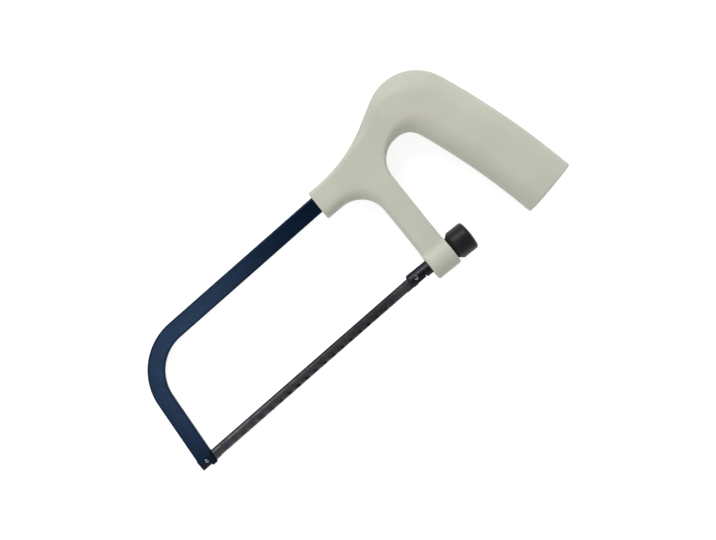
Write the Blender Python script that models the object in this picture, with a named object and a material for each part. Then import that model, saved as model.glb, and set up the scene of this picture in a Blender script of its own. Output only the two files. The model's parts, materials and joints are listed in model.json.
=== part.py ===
import math

import bmesh
import bpy
from mathutils import Vector

for old in list(bpy.data.objects):
    bpy.data.objects.remove(old, do_unlink=True)

# Sizes are in millimetres and degrees. In the saw's plane x runs back along the
# blade from the front pin and y runs from the blade to the frame bar. z runs
# across the saw from its middle plane, and points up as the saw lies on its side.

# Blade
PIN_SPACING = 150.0
PIN_DIAMETER = 2.0
PIN_LENGTH = 5.4
BLADE_WIDTH = 6.0
BLADE_THICKNESS = 0.65
BLADE_OVERHANG = 4.7
BLADE_RISE = -0.2
TEETH_PER_INCH = 32
TOOTH_DEPTH = 0.5
SET_PERIOD = 6.25
SET_SWING = 0.2
TEETH_CLEAR = 8.0

# Frame bar
BAR_WIDTH = 9.6
BAR_THICKNESS = 5.0
BAR_EDGE = 0.9
BAR_HEIGHT = 64.75
BAR_RISE = 0.25
ARM_LEAN = 6.7
ARM_SETBACK = 0.33
BEND_RADIUS = 33.4
HOOK_DEPTH = 4.2
HOOK_CORNER = 1.0
PRONG_DEPTH = 1.05
TANG_WIDTH = 8.4
TANG_THICKNESS = 3.8
TANG_LENGTH = 30.0
TANG_ROOT = 10.0

# Handle
COLLAR_REACH = 31.8
COLLAR_ABOVE = 2.85
COLLAR_BELOW = 5.05
COLLAR_THICKNESS = 13.6
UNDER_EDGE = 6.4
ARM_WIDTH = 14.9
ARM_THICKNESS = 12.0
ARM_EDGE = 1.7
ARM_FILLET = 16.0
BOSS_SETBACK = 16.9
BOSS_DROP = 0.38
BOSS_LENGTH = 15.1
BOSS_DIAMETER = 17.7
BOSS_ROUND = 0.5
NECK_RADIUS = 81.0
NECK_SLOPE = 27.0
NECK_EDGE = 1.5
CROWN_SETBACK = 39.1
CROWN_DROP = 0.75
CROWN_RADIUS = 27.0
CROWN_EDGE = 5.0
LOOP_DROP = 1.05
LOOP_FRONT_RADIUS = 14.4
LOOP_BACK_RADIUS = 11.0
LOOP_EDGE = 1.3
LOOP_TOP_EDGE = 5.5
GRIP_LEAN = 20.0
GRIP_BACK_RADIUS = 430.0
GRIP_WIDTH = 33.0
GRIP_FRONT_EDGE = 11.0
GRIP_BACK_EDGE = 14.5
GRIP_THICKNESS = 26.0
GRIP_LENGTH = 84.6
END_ROUND = 0.9

# Tensioner
SCREW_TILT = 2.3
ROD_DIAMETER = 7.7
ROD_CHAMFER = 1.3
HOOK_LENGTH = 4.6
SHANK_DIAMETER = 6.4
SHANK_FLATS = 5.0
SHANK_HELD = 2.4
THREAD_DIAMETER = 5.0
THREAD_CHAMFER = 0.6
SCREW_TRAVEL = 4.0
KNOB_DIAMETER = 16.6
KNOB_LENGTH = 13.1
KNOB_CHAMFER = 2.4
KNOB_ROUND = 1.8
KNOB_DOME = 0.6
KNOB_END_WALL = 1.8
INSERT_DIAMETER = 8.4
INSERT_LENGTH = 8.0
WASHER_DIAMETER = 12.0
WASHER_THICKNESS = 0.9

# Clearances
SEAT_GAP = 0.15
RUNNING_GAP = 0.25
SHOULDER_GAP = 2.0
PIN_PLAY = 0.12
THREAD_PLAY = 0.08
BLADE_SLOT = 1.05

# Positions that follow from the sizes
BOSS_X = PIN_SPACING + BOSS_SETBACK
COLLAR_X = BOSS_X - COLLAR_REACH
COLLAR_TOP = BAR_HEIGHT + BAR_WIDTH / 2 + COLLAR_ABOVE
COLLAR_BOTTOM = BAR_HEIGHT - BAR_WIDTH / 2 - COLLAR_BELOW
CROWN = Vector((BOSS_X + CROWN_SETBACK, BAR_HEIGHT - CROWN_DROP))
LOOP_TOP = BAR_HEIGHT - LOOP_DROP
BLADE_BACK = BLADE_RISE + BLADE_WIDTH / 2
BLADE_TIPS = BLADE_RISE - BLADE_WIDTH / 2
LEAN = math.tan(math.radians(SCREW_TILT))
LEVEL = Vector((1, 0))
COLLAR_LOW = Vector((COLLAR_X, COLLAR_BOTTOM))
COLLAR_HIGH = Vector((COLLAR_X + LEAN * (COLLAR_TOP - COLLAR_BOTTOM), COLLAR_TOP))


def polar(angle, radius=1.0):
    return Vector((math.cos(math.radians(angle)), math.sin(math.radians(angle)))) * radius


def arc(centre, radius, start, stop, steps):
    return [centre + polar(start + (stop - start) * i / steps, radius) for i in range(steps + 1)]


def meet(p, along_p, q, along_q):
    gap = q - p
    cross = along_p.x * along_q.y - along_p.y * along_q.x
    return p + along_p * ((gap.x * along_q.y - gap.y * along_q.x) / cross)


def spread(line, fractions):
    lengths = [0.0]
    for a, b in zip(line, line[1:]):
        lengths.append(lengths[-1] + (b - a).length)
    points = []
    for fraction in fractions:
        want = fraction * lengths[-1]
        i = 0
        while i < len(line) - 2 and lengths[i + 1] < want:
            i += 1
        points.append(line[i].lerp(line[i + 1], (want - lengths[i]) / (lengths[i + 1] - lengths[i])))
    return points


def even(steps):
    return [i / steps for i in range(steps + 1)]


def ends_dense(steps):
    return [(1 - math.cos(math.pi * i / steps)) / 2 for i in range(steps + 1)]


def blend(a, b, t):
    t = max(0.0, min(1.0, t))
    return a + (b - a) * t * t * (3 - 2 * t)


def empty(name, parent=None, place=(0, 0, 0), turn=0.0):
    obj = bpy.data.objects.new(name, None)
    bpy.context.scene.collection.objects.link(obj)
    obj.parent = parent
    obj.location = Vector(place) * 0.001
    obj.rotation_euler = (0, 0, math.radians(turn))
    return obj


def solid(name, bm, parent, material=None, place=(0, 0, 0), smooth=40):
    bmesh.ops.recalc_face_normals(bm, faces=bm.faces)
    bmesh.ops.scale(bm, vec=(0.001, 0.001, 0.001), verts=bm.verts)
    mesh = bpy.data.meshes.new(name)
    bm.to_mesh(mesh)
    bm.free()
    mesh.shade_smooth()
    mesh.set_sharp_from_angle(angle=math.radians(smooth))
    obj = bpy.data.objects.new(name, mesh)
    bpy.context.scene.collection.objects.link(obj)
    obj.parent = parent
    obj.location = Vector(place) * 0.001
    if material:
        mesh.materials.append(material)
    else:
        obj.hide_render = True
        obj.display_type = "WIRE"
    return obj


def combine(obj, tool, operation):
    step = obj.modifiers.new(tool.name, "BOOLEAN")
    step.object = tool
    step.operation = operation
    step.solver = "EXACT"


def round_edges(obj, width):
    step = obj.modifiers.new("edges", "BEVEL")
    step.width = width * 0.001
    step.segments = 3
    step.limit_method = "ANGLE"
    step.angle_limit = math.radians(60)


def paint(name, color, metallic, roughness):
    material = bpy.data.materials.new(name)
    material.use_nodes = True
    shader = material.node_tree.nodes["Principled BSDF"]
    shader.inputs["Base Color"].default_value = (*color, 1)
    shader.inputs["Metallic"].default_value = metallic
    shader.inputs["Roughness"].default_value = roughness
    return material


def prism(outline, low, high):
    bm = bmesh.new()
    face = bm.faces.new([bm.verts.new((p.x, p.y, low)) for p in outline])
    grown = bmesh.ops.extrude_face_region(bm, geom=[face])["geom"]
    raised = [v for v in grown if isinstance(v, bmesh.types.BMVert)]
    bmesh.ops.translate(bm, vec=(0, 0, high - low), verts=raised)
    return bm


def turned(profile, steps=48):
    # A closed profile of (x, radius) points turned about the x axis
    bm = bmesh.new()
    rings = []
    for x, radius in profile:
        if radius == 0:
            rings.append([bm.verts.new((x, 0, 0))] * steps)
        else:
            angles = [2 * math.pi * i / steps for i in range(steps)]
            rings.append([bm.verts.new((x, radius * math.cos(a), radius * math.sin(a))) for a in angles])
    for near, far in zip(rings, rings[1:] + rings[:1]):
        if len(set(near)) == 1 and len(set(far)) == 1:
            continue
        for i in range(steps):
            j = (i + 1) % steps
            corners = list(dict.fromkeys((near[i], near[j], far[j], far[i])))
            bm.faces.new(corners)
    return bm


def block(low, high):
    bm = bmesh.new()
    bmesh.ops.create_cube(bm, size=1)
    low, high = Vector(low), Vector(high)
    bmesh.ops.scale(bm, vec=high - low, verts=bm.verts)
    bmesh.ops.translate(bm, vec=(low + high) / 2, verts=bm.verts)
    return bm


navy = paint("navy_paint", (0.018, 0.036, 0.084), 0.0, 0.35)
grey = paint("grey_plastic", (0.50, 0.51, 0.44), 0.0, 0.5)
black = paint("black_plastic", (0.02, 0.02, 0.022), 0.0, 0.45)
dark_steel = paint("dark_steel", (0.05, 0.05, 0.055), 0.9, 0.4)
blade_steel = paint("blade_steel", (0.10, 0.10, 0.11), 0.9, 0.45)
bright_steel = paint("bright_steel", (0.55, 0.55, 0.56), 1.0, 0.3)
brass = paint("brass", (0.55, 0.40, 0.15), 1.0, 0.35)

saw = empty("saw")
screw = empty("screw_axis", saw, (BOSS_X, -BOSS_DROP, 0), -SCREW_TILT)


# Blade: a flat strip whose toothed edge waves from side to side
def make_blade():
    pitch = 25.4 / TEETH_PER_INCH
    first = TEETH_CLEAR
    count = int((PIN_SPACING - 2 * TEETH_CLEAR) / pitch)
    last = first + count * pitch
    edge = [(-BLADE_OVERHANG, BLADE_TIPS)]
    for i in range(count):
        edge.append((first + i * pitch, BLADE_TIPS))
        edge.append((first + (i + 0.75) * pitch, BLADE_TIPS + TOOTH_DEPTH))
    edge += [(last, BLADE_TIPS), (PIN_SPACING + BLADE_OVERHANG, BLADE_TIPS)]
    root = BLADE_TIPS + 4 * TOOTH_DEPTH
    bm = bmesh.new()
    sides = []
    for z in (-BLADE_THICKNESS / 2, BLADE_THICKNESS / 2):
        back = [bm.verts.new((x, BLADE_BACK, z)) for x in (edge[0][0], edge[-1][0])]
        line = [bm.verts.new((x, root, z)) for x, y in edge]
        tips = []
        for x, y in edge:
            inside = min(x - first, last - x) / SET_PERIOD
            sway = SET_SWING * max(0.0, min(1.0, inside)) * math.sin(2 * math.pi * (x - first) / SET_PERIOD)
            tips.append(bm.verts.new((x, y, z + sway)))
        bm.faces.new(back + line[::-1])
        for i in range(len(edge) - 1):
            bm.faces.new((line[i], line[i + 1], tips[i + 1], tips[i]))
        sides.append((back, line, tips))
    (back0, line0, tips0), (back1, line1, tips1) = sides
    bm.faces.new((back0[0], back0[1], back1[1], back1[0]))
    for i in range(len(edge) - 1):
        bm.faces.new((tips0[i], tips0[i + 1], tips1[i + 1], tips1[i]))
    for k in (0, -1):
        bm.faces.new((back0[k], line0[k], line1[k], back1[k]))
        bm.faces.new((line0[k], tips0[k], tips1[k], line1[k]))
    return bm


blade = solid("blade", make_blade(), saw, blade_steel, smooth=20)


# Pins, with lightly chamfered ends
def make_pin(radius, half, chamfer, steps=24):
    bm = bmesh.new()
    bmesh.ops.create_cone(
        bm, cap_ends=True, segments=steps, radius1=radius, radius2=radius, depth=2 * half
    )
    if chamfer:
        rims = [e for e in bm.edges if abs(e.verts[0].co.z - e.verts[1].co.z) < 1e-6]
        bmesh.ops.bevel(bm, geom=rims, offset=chamfer, segments=1, affect="EDGES")
    return bm


for name, x in (("front_blade_pin", 0.0), ("rear_blade_pin", PIN_SPACING)):
    pin = make_pin(PIN_DIAMETER / 2, PIN_LENGTH / 2, 0.3)
    solid(name, pin, saw, bright_steel, (x, 0, 0), smooth=30)
    hole = make_pin(PIN_DIAMETER / 2 + PIN_PLAY, BLADE_THICKNESS, 0)
    combine(blade, solid(name + "_hole", hole, saw, place=(x, 0, 0)), "DIFFERENCE")


# Frame bar: one outline along the bar, round the bend, down the arm and round its hook
up_arm = polar(90 - ARM_LEAN)
out_arm = polar(180 - ARM_LEAN)
along_bar = polar(BAR_RISE)
above_bar = polar(90 + BAR_RISE)
bar_at_collar = Vector((COLLAR_X, BAR_HEIGHT))
seat_radius = PIN_DIAMETER / 2 + PIN_PLAY
arm_foot = Vector((ARM_SETBACK, 0))
arm_edge = out_arm * (BAR_WIDTH / 2)
bar_edge = above_bar * (BAR_WIDTH / 2)
bend = meet(
    arm_foot + arm_edge - out_arm * BEND_RADIUS, up_arm,
    bar_at_collar + bar_edge - above_bar * BEND_RADIUS, along_bar,
)
tang_end = bar_at_collar + along_bar * TANG_LENGTH
prong_outer = meet(arm_foot + arm_edge, up_arm, Vector((0, -PRONG_DEPTH)), LEVEL)
hook_inner = meet(arm_foot - arm_edge, up_arm, Vector((0, -HOOK_DEPTH)), LEVEL)
hook_left = Vector((seat_radius, -HOOK_DEPTH))
bar_outline = [tang_end + bar_edge]
bar_outline += arc(bend, BEND_RADIUS, 90 + BAR_RISE, 180 - ARM_LEAN, 20)
bar_outline += [prong_outer, Vector((-seat_radius, -PRONG_DEPTH))]
bar_outline += arc(Vector((0, 0)), seat_radius, 180, 0, 12)
bar_outline += arc(hook_left + Vector((HOOK_CORNER, HOOK_CORNER)), HOOK_CORNER, 180, 270, 5)
bar_outline += arc(hook_inner + Vector((-HOOK_CORNER, HOOK_CORNER)), HOOK_CORNER, 270, 360, 5)
bar_outline += arc(bend, BEND_RADIUS - BAR_WIDTH, 180 - ARM_LEAN, 90 + BAR_RISE, 20)
bar_outline += [tang_end - bar_edge]
bar = solid("frame_bar", prism(bar_outline, -BAR_THICKNESS / 2, BAR_THICKNESS / 2), saw, navy)
round_edges(bar, BAR_EDGE)
slot_top = BLADE_BACK + 1.4
slot = block((-BAR_WIDTH, -2 * HOOK_DEPTH, -BLADE_SLOT / 2), (BAR_WIDTH, slot_top, BLADE_SLOT / 2))
combine(bar, solid("frame_slot", slot, saw), "DIFFERENCE")

# The bar stops in a shoulder at the collar's leaning face, and a tang runs on into the handle
shoulder_ends = [COLLAR_LOW - LEVEL * SEAT_GAP, COLLAR_HIGH - LEVEL * SEAT_GAP]
trim_outline = shoulder_ends + [p + LEVEL * 2 * TANG_LENGTH for p in shoulder_ends[::-1]]
combine(bar, solid("frame_trim", prism(trim_outline, -BAR_THICKNESS, BAR_THICKNESS), saw), "DIFFERENCE")


def make_tang(name, gap):
    start = bar_at_collar - along_bar * TANG_ROOT
    stop = tang_end + along_bar * gap
    side = above_bar * (TANG_WIDTH / 2 + gap)
    half = TANG_THICKNESS / 2 + gap
    tang = solid(name, prism([start + side, start - side, stop - side, stop + side], -half, half), saw)
    round_edges(tang, BAR_EDGE)
    return tang


combine(bar, make_tang("frame_tang", 0), "UNION")

# Handle outline: lines and arcs, each tangent to the next
up_post = polar(90 - SCREW_TILT)
back_post = polar(-SCREW_TILT)
boss = Vector((BOSS_X, -BOSS_DROP))
post_front = boss - back_post * (ARM_WIDTH / 2)
post_back = boss + back_post * (ARM_WIDTH / 2)
grip = CROWN + polar(GRIP_LEAN, CROWN_RADIUS - GRIP_BACK_RADIUS)
grip_front_radius = GRIP_BACK_RADIUS - GRIP_WIDTH
grip_end = GRIP_LEAN - math.degrees(GRIP_LENGTH / GRIP_BACK_RADIUS)

fillet = meet(post_front - back_post * ARM_FILLET, up_post, Vector((0, COLLAR_BOTTOM - ARM_FILLET)), LEVEL)
loop_front_level = Vector((0, LOOP_TOP - LOOP_FRONT_RADIUS))
loop_front = meet(post_back + back_post * LOOP_FRONT_RADIUS, up_post, loop_front_level, LEVEL)
loop_back_y = LOOP_TOP - LOOP_BACK_RADIUS
loop_reach = grip_front_radius - LOOP_BACK_RADIUS
loop_back = Vector((grip.x + math.sqrt(loop_reach**2 - (loop_back_y - grip.y) ** 2), loop_back_y))
loop_stop = math.degrees(math.atan2(loop_back.y - grip.y, loop_back.x - grip.x))
crown_start = CROWN + polar(90 + NECK_SLOPE, CROWN_RADIUS)
neck_rise = NECK_RADIUS * (1 - math.cos(math.radians(NECK_SLOPE)))
neck_end = meet(crown_start, polar(NECK_SLOPE), Vector((0, COLLAR_TOP + neck_rise)), LEVEL)
neck = neck_end + polar(90 + NECK_SLOPE, NECK_RADIUS)

fillet_cut, loop_cut, neck_cut = 48.0, 152.0, 270 + 0.42 * NECK_SLOPE
underside = [COLLAR_LOW] + arc(fillet, ARM_FILLET, 90, fillet_cut, 16)
post_left = arc(fillet, ARM_FILLET, fillet_cut, -SCREW_TILT, 16) + [post_front]
post_right = arc(loop_front, LOOP_FRONT_RADIUS, loop_cut, 180 - SCREW_TILT, 12) + [post_back]
loop_rise = arc(loop_front, LOOP_FRONT_RADIUS, loop_cut, 90, 16)
loop_fall = arc(loop_back, LOOP_BACK_RADIUS, 90, loop_stop, 16)
grip_front = arc(grip, grip_front_radius, loop_stop, grip_end, 24)
neck_one = arc(neck, NECK_RADIUS, 270, neck_cut, 12)
neck_two = arc(neck, NECK_RADIUS, neck_cut, 270 + NECK_SLOPE, 12)
crown = arc(CROWN, CROWN_RADIUS, 90 + NECK_SLOPE, GRIP_LEAN, 32)
grip_back = arc(grip, GRIP_BACK_RADIUS, GRIP_LEAN, grip_end, 24)

# Rungs across the handle from its lower edge to its upper edge, and rows down the front arm
stretches = [
    (underside[:2], [COLLAR_HIGH, neck_one[0]], even(4)),
    (underside[1:], neck_one, even(6)),
    ([underside[-1], loop_rise[0]], neck_two, ends_dense(12)),
    (loop_rise + [loop_fall[0]], [neck_two[-1], crown_start], even(7)),
    (loop_fall, crown, even(13)),
    (grip_front, grip_back, even(12)),
]
rungs = []
joined = []
for index, (low_line, high_line, fractions) in enumerate(stretches):
    ends = list(zip(spread(low_line, fractions), spread(high_line, fractions), fractions))
    if index:
        ends = ends[1:]
    if index == 2:
        joined = list(range(len(rungs) - 1, len(rungs) + len(ends)))
    for low, high, fraction in ends:
        rungs.append([low, high, index + fraction, 0.0])

# Each border carries how far its rounding reaches in: crisp along the neck, the front of the
# loop and the arm, wide under the collar, and growing round the crown and the loop to the grip
def edged(line, start, stop):
    return [(p, start + (stop - start) * share**2) for p, share in zip(line, even(len(line) - 1))]


def run_on(border):
    (first, first_reach), (last, last_reach) = border[0], border[-1]
    before = first + (first - border[1][0]).normalized() * 2 * first_reach
    after = last + (last - border[-2][0]).normalized() * 2 * last_reach
    return [(before, first_reach)] + border + [(after, last_reach)]


under_border = edged(underside, UNDER_EDGE, UNDER_EDGE)
under_border += edged(post_left, UNDER_EDGE, ARM_EDGE)[1:]
loop_border = edged(post_right[::-1], LOOP_EDGE, LOOP_EDGE)
loop_border += edged(loop_rise, LOOP_EDGE, LOOP_TOP_EDGE)[1:]
loop_border += edged(loop_fall[::-1], GRIP_FRONT_EDGE, LOOP_TOP_EDGE)[::-1]
loop_border += edged(grip_front, GRIP_FRONT_EDGE, GRIP_FRONT_EDGE)[1:]
top_border = edged([COLLAR_HIGH] + neck_one, NECK_EDGE, NECK_EDGE)
top_border += edged(neck_two, NECK_EDGE, CROWN_EDGE)[1:]
top_border += edged(crown[::-1], GRIP_BACK_EDGE, CROWN_EDGE)[::-1]
top_border += edged(grip_back, GRIP_BACK_EDGE, GRIP_BACK_EDGE)[1:]
borders = [run_on(border) for border in (under_border, loop_border, top_border)]


def from_edge(p):
    nearest = 1.0
    for border in borders:
        for (a, a_reach), (b, b_reach) in zip(border, border[1:]):
            run = b - a
            t = max(0.0, min(1.0, (p - a).dot(run) / run.length_squared))
            nearest = min(nearest, (a + run * t - p).length / (a_reach + (b_reach - a_reach) * t))
    return nearest


def swell(p, thickness):
    inset = 1 - from_edge(p)
    return thickness / 2 * math.sqrt(max(0.0, 1 - inset * inset))


# Both ends of the tube get extra rungs, drawn in to round the rim
def rim(rung, inward):
    low, high, stage, shrink = rung
    rows = []
    for angle in (90, 60, 30):
        drawn = END_ROUND * (1 - math.cos(math.radians(angle)))
        along = END_ROUND * (1 - math.sin(math.radians(angle)))
        rows.append([low + inward * along, high + inward * along, stage, drawn])
    rows.append([low + inward * END_ROUND, high + inward * END_ROUND, stage, 0.0])
    return rows


front_rows = rim(rungs[0], LEVEL)
end_rows = rim(rungs[-1], polar(grip_end + 90))
joined = [i + len(front_rows) - 1 for i in joined]
rungs = front_rows + rungs[1:-1] + end_rows[::-1]

bm = bmesh.new()
across = ends_dense(16)
faces_up, faces_down = [], []
for low, high, stage, shrink in rungs:
    share = blend(0, 1, (stage - 3) / 2)
    thickness = COLLAR_THICKNESS + (GRIP_THICKNESS - COLLAR_THICKNESS) * share
    row_up, row_down = [], []
    for k, s in enumerate(across):
        p = low.lerp(high, s)
        z = 0.0 if k in (0, len(across) - 1) else swell(p, thickness)
        if shrink:
            p = p + (high - low).normalized() * shrink * (1 - 2 * s)
            z *= 1 - 2 * shrink / thickness
        row_up.append((p, z))
        row_down.append((p, -z))
    faces_up.append(row_up)
    faces_down.append(row_down)

# The junction with the front arm stays open: its lower ends take the arm's thickness
for i in joined[1:-1]:
    p = rungs[i][0]
    z = swell(p, COLLAR_THICKNESS)
    faces_up[i][0] = (p, z)
    faces_down[i][0] = (p, -z)


def skin(rows):
    grid = [[bm.verts.new((p.x, p.y, z)) for p, z in row] for row in rows]
    for a, b in zip(grid, grid[1:]):
        for i in range(len(a) - 1):
            bm.faces.new((a[i], a[i + 1], b[i + 1], b[i]))


columns = ends_dense(12)
down = [t**1.5 for t in even(14)]
left_side = spread(post_left, down)
right_side = spread(post_right, down)
post_up, post_down = [], []
for t, left, right in zip(down, left_side, right_side):
    share = blend(0, 1, 2.2 * t)
    thickness = COLLAR_THICKNESS + (ARM_THICKNESS - COLLAR_THICKNESS) * share
    row_up, row_down = [], []
    for k, s in enumerate(columns):
        p = left.lerp(right, s)
        z = 0.0 if k in (0, len(columns) - 1) else swell(p, thickness)
        row_up.append((p, z))
        row_down.append((p, -z))
    post_up.append(row_up)
    post_down.append(row_down)

for rows, post in ((faces_up, post_up), (faces_down, post_down)):
    skin(rows)
    skin(post)
bmesh.ops.remove_doubles(bm, verts=bm.verts, dist=1e-4)
bmesh.ops.holes_fill(bm, edges=[e for e in bm.edges if e.is_boundary], sides=0)
handle = solid("handle", bm, saw, grey, smooth=50)

half_boss = BOSS_LENGTH / 2
boss_radius = BOSS_DIAMETER / 2
boss_rim = arc(Vector((half_boss - BOSS_ROUND, boss_radius - BOSS_ROUND)), BOSS_ROUND, 90, 0, 3)
boss_profile = [(-half_boss, 0)] + [(-p.x, p.y) for p in boss_rim[::-1]]
boss_profile += [(p.x, p.y) for p in boss_rim] + [(half_boss, 0)]
combine(handle, solid("handle_boss", turned(boss_profile), screw), "UNION")

combine(handle, make_tang("handle_socket", SEAT_GAP), "DIFFERENCE")

# Bore through the boss: a round mouth for the rod, flats for its shank, a seat for the washer
washer_seat = half_boss - WASHER_THICKNESS - 2 * SEAT_GAP
shank_end = washer_seat - RUNNING_GAP
mouth_floor = shank_end - SCREW_TRAVEL - SHANK_HELD
shoulder = mouth_floor - SHOULDER_GAP
mouth_start = -half_boss - 5
mouth_radius = ROD_DIAMETER / 2 + SEAT_GAP
bore_profile = [(mouth_start, 0), (mouth_start, mouth_radius), (mouth_floor, mouth_radius), (mouth_floor, 0)]
combine(handle, solid("handle_mouth", turned(bore_profile), screw), "DIFFERENCE")
seat_end = half_boss + 5
washer_bore = WASHER_DIAMETER / 2 + SEAT_GAP
seat_profile = [(washer_seat, 0), (washer_seat, washer_bore), (seat_end, washer_bore), (seat_end, 0)]
combine(handle, solid("handle_washer_seat", turned(seat_profile), screw), "DIFFERENCE")


def shank_section(radius, flats, start, stop):
    limit = math.degrees(math.asin(flats / 2 / radius))
    outline = arc(Vector((0, 0)), radius, -limit, limit, 8)
    outline += arc(Vector((0, 0)), radius, 180 - limit, 180 + limit, 8)
    bm = bmesh.new()
    near = [bm.verts.new((start, p.x, p.y)) for p in outline]
    far = [bm.verts.new((stop, p.x, p.y)) for p in outline]
    bm.faces.new(near)
    bm.faces.new(far)
    for i in range(len(outline)):
        j = (i + 1) % len(outline)
        bm.faces.new((near[i], near[j], far[j], far[i]))
    return bm


shank_radius = SHANK_DIAMETER / 2
thread_radius = THREAD_DIAMETER / 2
flats_bore = shank_section(shank_radius + SEAT_GAP, SHANK_FLATS + 2 * SEAT_GAP, mouth_floor - 1, half_boss)
combine(handle, solid("handle_flats_bore", flats_bore, screw), "DIFFERENCE")

# Tension rod: slotted hook in front, flatted shank in the boss, thread behind. Behind the
# pin the hook is hollowed from below, so that the rod can run forward and let the pin go.
pin_x = Vector((-BOSS_SETBACK, BOSS_DROP)).dot(back_post)
pin_y = Vector((-BOSS_SETBACK, BOSS_DROP)).dot(up_post)
rod_front = pin_x - HOOK_LENGTH
knob_face = half_boss + RUNNING_GAP
rod_tail = knob_face + KNOB_LENGTH - KNOB_END_WALL - 0.5
rod_radius = ROD_DIAMETER / 2
rod_profile = [
    (rod_front, 0), (rod_front, rod_radius - ROD_CHAMFER), (rod_front + ROD_CHAMFER, rod_radius),
    (shoulder, rod_radius), (shoulder, shank_radius), (shank_end, shank_radius), (shank_end, thread_radius),
    (rod_tail - THREAD_CHAMFER, thread_radius), (rod_tail, thread_radius - THREAD_CHAMFER), (rod_tail, 0),
]
rod = solid("tension_rod", turned(rod_profile), screw, dark_steel)
for name, sign in (("rod_flat_top", 1), ("rod_flat_under", -1)):
    ends = sorted((sign * SHANK_FLATS / 2, sign * ROD_DIAMETER))
    flat = block((shoulder, -ROD_DIAMETER, ends[0]), (shank_end, ROD_DIAMETER, ends[1]))
    combine(rod, solid(name, flat, screw), "DIFFERENCE")
slot_end = pin_x + BLADE_OVERHANG + SCREW_TRAVEL + 2 * RUNNING_GAP
rod_slot = block((rod_front - 5, -ROD_DIAMETER, -BLADE_SLOT / 2), (slot_end, ROD_DIAMETER, BLADE_SLOT / 2))
combine(rod, solid("rod_slot", rod_slot, screw), "DIFFERENCE")
pin_at = Vector((pin_x, pin_y))
notch_outline = arc(pin_at, seat_radius, 0, 180, 12)
notch_outline += [Vector((pin_x - seat_radius, -ROD_DIAMETER)), Vector((pin_x + seat_radius, -ROD_DIAMETER))]
combine(rod, solid("rod_notch", prism(notch_outline, -ROD_DIAMETER, ROD_DIAMETER), screw), "DIFFERENCE")
hollow_half = PIN_LENGTH / 2 + PIN_PLAY
hollow_radius = PIN_DIAMETER / 2 + RUNNING_GAP
hollow_outline = arc(pin_at + LEVEL * SCREW_TRAVEL, hollow_radius, 0, 90, 6)
hollow_outline += [pin_at + Vector((0, hollow_radius)), Vector((pin_x, -ROD_DIAMETER))]
hollow_outline.append(Vector((pin_x + SCREW_TRAVEL + hollow_radius, -ROD_DIAMETER)))
combine(rod, solid("rod_hollow", prism(hollow_outline, -hollow_half, hollow_half), screw), "DIFFERENCE")

# Knob, its threaded insert and the washer
knob_end = knob_face + KNOB_LENGTH
knob_radius = KNOB_DIAMETER / 2
chamfer_drop = 0.8 * KNOB_CHAMFER
round_at = Vector((knob_end - KNOB_DOME - KNOB_ROUND, knob_radius - KNOB_ROUND))
knob_profile = [(knob_face, knob_radius - chamfer_drop), (knob_face + KNOB_CHAMFER, knob_radius)]
knob_profile += [(p.x, p.y) for p in arc(round_at, KNOB_ROUND, 90, 10, 5)]
knob_profile += [(knob_end - KNOB_DOME * share**2, share * round_at.y) for share in (0.8, 0.4, 0)]
insert_hole = INSERT_DIAMETER / 2 + SEAT_GAP
thread_hole = thread_radius + RUNNING_GAP
knob_floor = knob_end - KNOB_END_WALL
insert_end = knob_face + INSERT_LENGTH
knob_profile += [
    (knob_floor, 0), (knob_floor, thread_hole), (insert_end + SEAT_GAP, thread_hole),
    (insert_end + SEAT_GAP, insert_hole), (knob_face, insert_hole),
]
solid("tension_knob", turned(knob_profile), screw, black)
insert_radius = INSERT_DIAMETER / 2
insert_hole_radius = thread_radius + THREAD_PLAY
insert_profile = [
    (knob_face, insert_hole_radius), (knob_face, insert_radius),
    (insert_end, insert_radius), (insert_end, insert_hole_radius),
]
solid("knob_insert", turned(insert_profile), screw, brass)
washer_near = washer_seat + SEAT_GAP
washer_hole = thread_radius + RUNNING_GAP
washer_profile = [
    (washer_near, washer_hole), (washer_near, WASHER_DIAMETER / 2),
    (washer_near + WASHER_THICKNESS, WASHER_DIAMETER / 2), (washer_near + WASHER_THICKNESS, washer_hole),
]
solid("thrust_washer", turned(washer_profile), screw, bright_steel)

# The saw lies on its side, with the middle of its underside at the origin
bpy.context.view_layer.update()
corners = []
for obj in bpy.data.objects:
    if obj.type == "MESH" and not obj.hide_render:
        corners += [obj.matrix_world @ v.co for v in obj.data.vertices]
low = [min(c[i] for c in corners) for i in range(3)]
high = [max(c[i] for c in corners) for i in range(3)]
saw.location = (-(low[0] + high[0]) / 2, -(low[1] + high[1]) / 2, -low[2])
bpy.context.view_layer.update()
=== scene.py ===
import json
import math

import bpy
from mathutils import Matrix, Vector, geometry


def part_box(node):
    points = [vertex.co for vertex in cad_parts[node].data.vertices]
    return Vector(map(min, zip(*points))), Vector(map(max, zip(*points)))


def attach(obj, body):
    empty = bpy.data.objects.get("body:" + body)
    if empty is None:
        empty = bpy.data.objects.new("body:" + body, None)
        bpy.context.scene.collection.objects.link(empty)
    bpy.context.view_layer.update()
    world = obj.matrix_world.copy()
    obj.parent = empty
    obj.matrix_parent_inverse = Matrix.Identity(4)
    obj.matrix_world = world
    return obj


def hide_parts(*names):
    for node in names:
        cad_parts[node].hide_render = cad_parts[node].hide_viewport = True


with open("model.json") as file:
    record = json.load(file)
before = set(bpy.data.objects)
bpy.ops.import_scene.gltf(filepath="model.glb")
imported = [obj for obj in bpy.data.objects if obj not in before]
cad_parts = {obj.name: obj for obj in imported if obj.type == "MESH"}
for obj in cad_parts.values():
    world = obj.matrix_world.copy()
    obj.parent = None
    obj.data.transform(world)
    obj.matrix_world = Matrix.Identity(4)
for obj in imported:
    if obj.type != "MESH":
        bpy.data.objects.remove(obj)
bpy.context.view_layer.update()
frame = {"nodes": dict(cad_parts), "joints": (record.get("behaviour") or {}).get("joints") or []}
nodes = frame["nodes"]
mm = 0.001
print("saw loaded:", len(nodes), "nodes")

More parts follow.
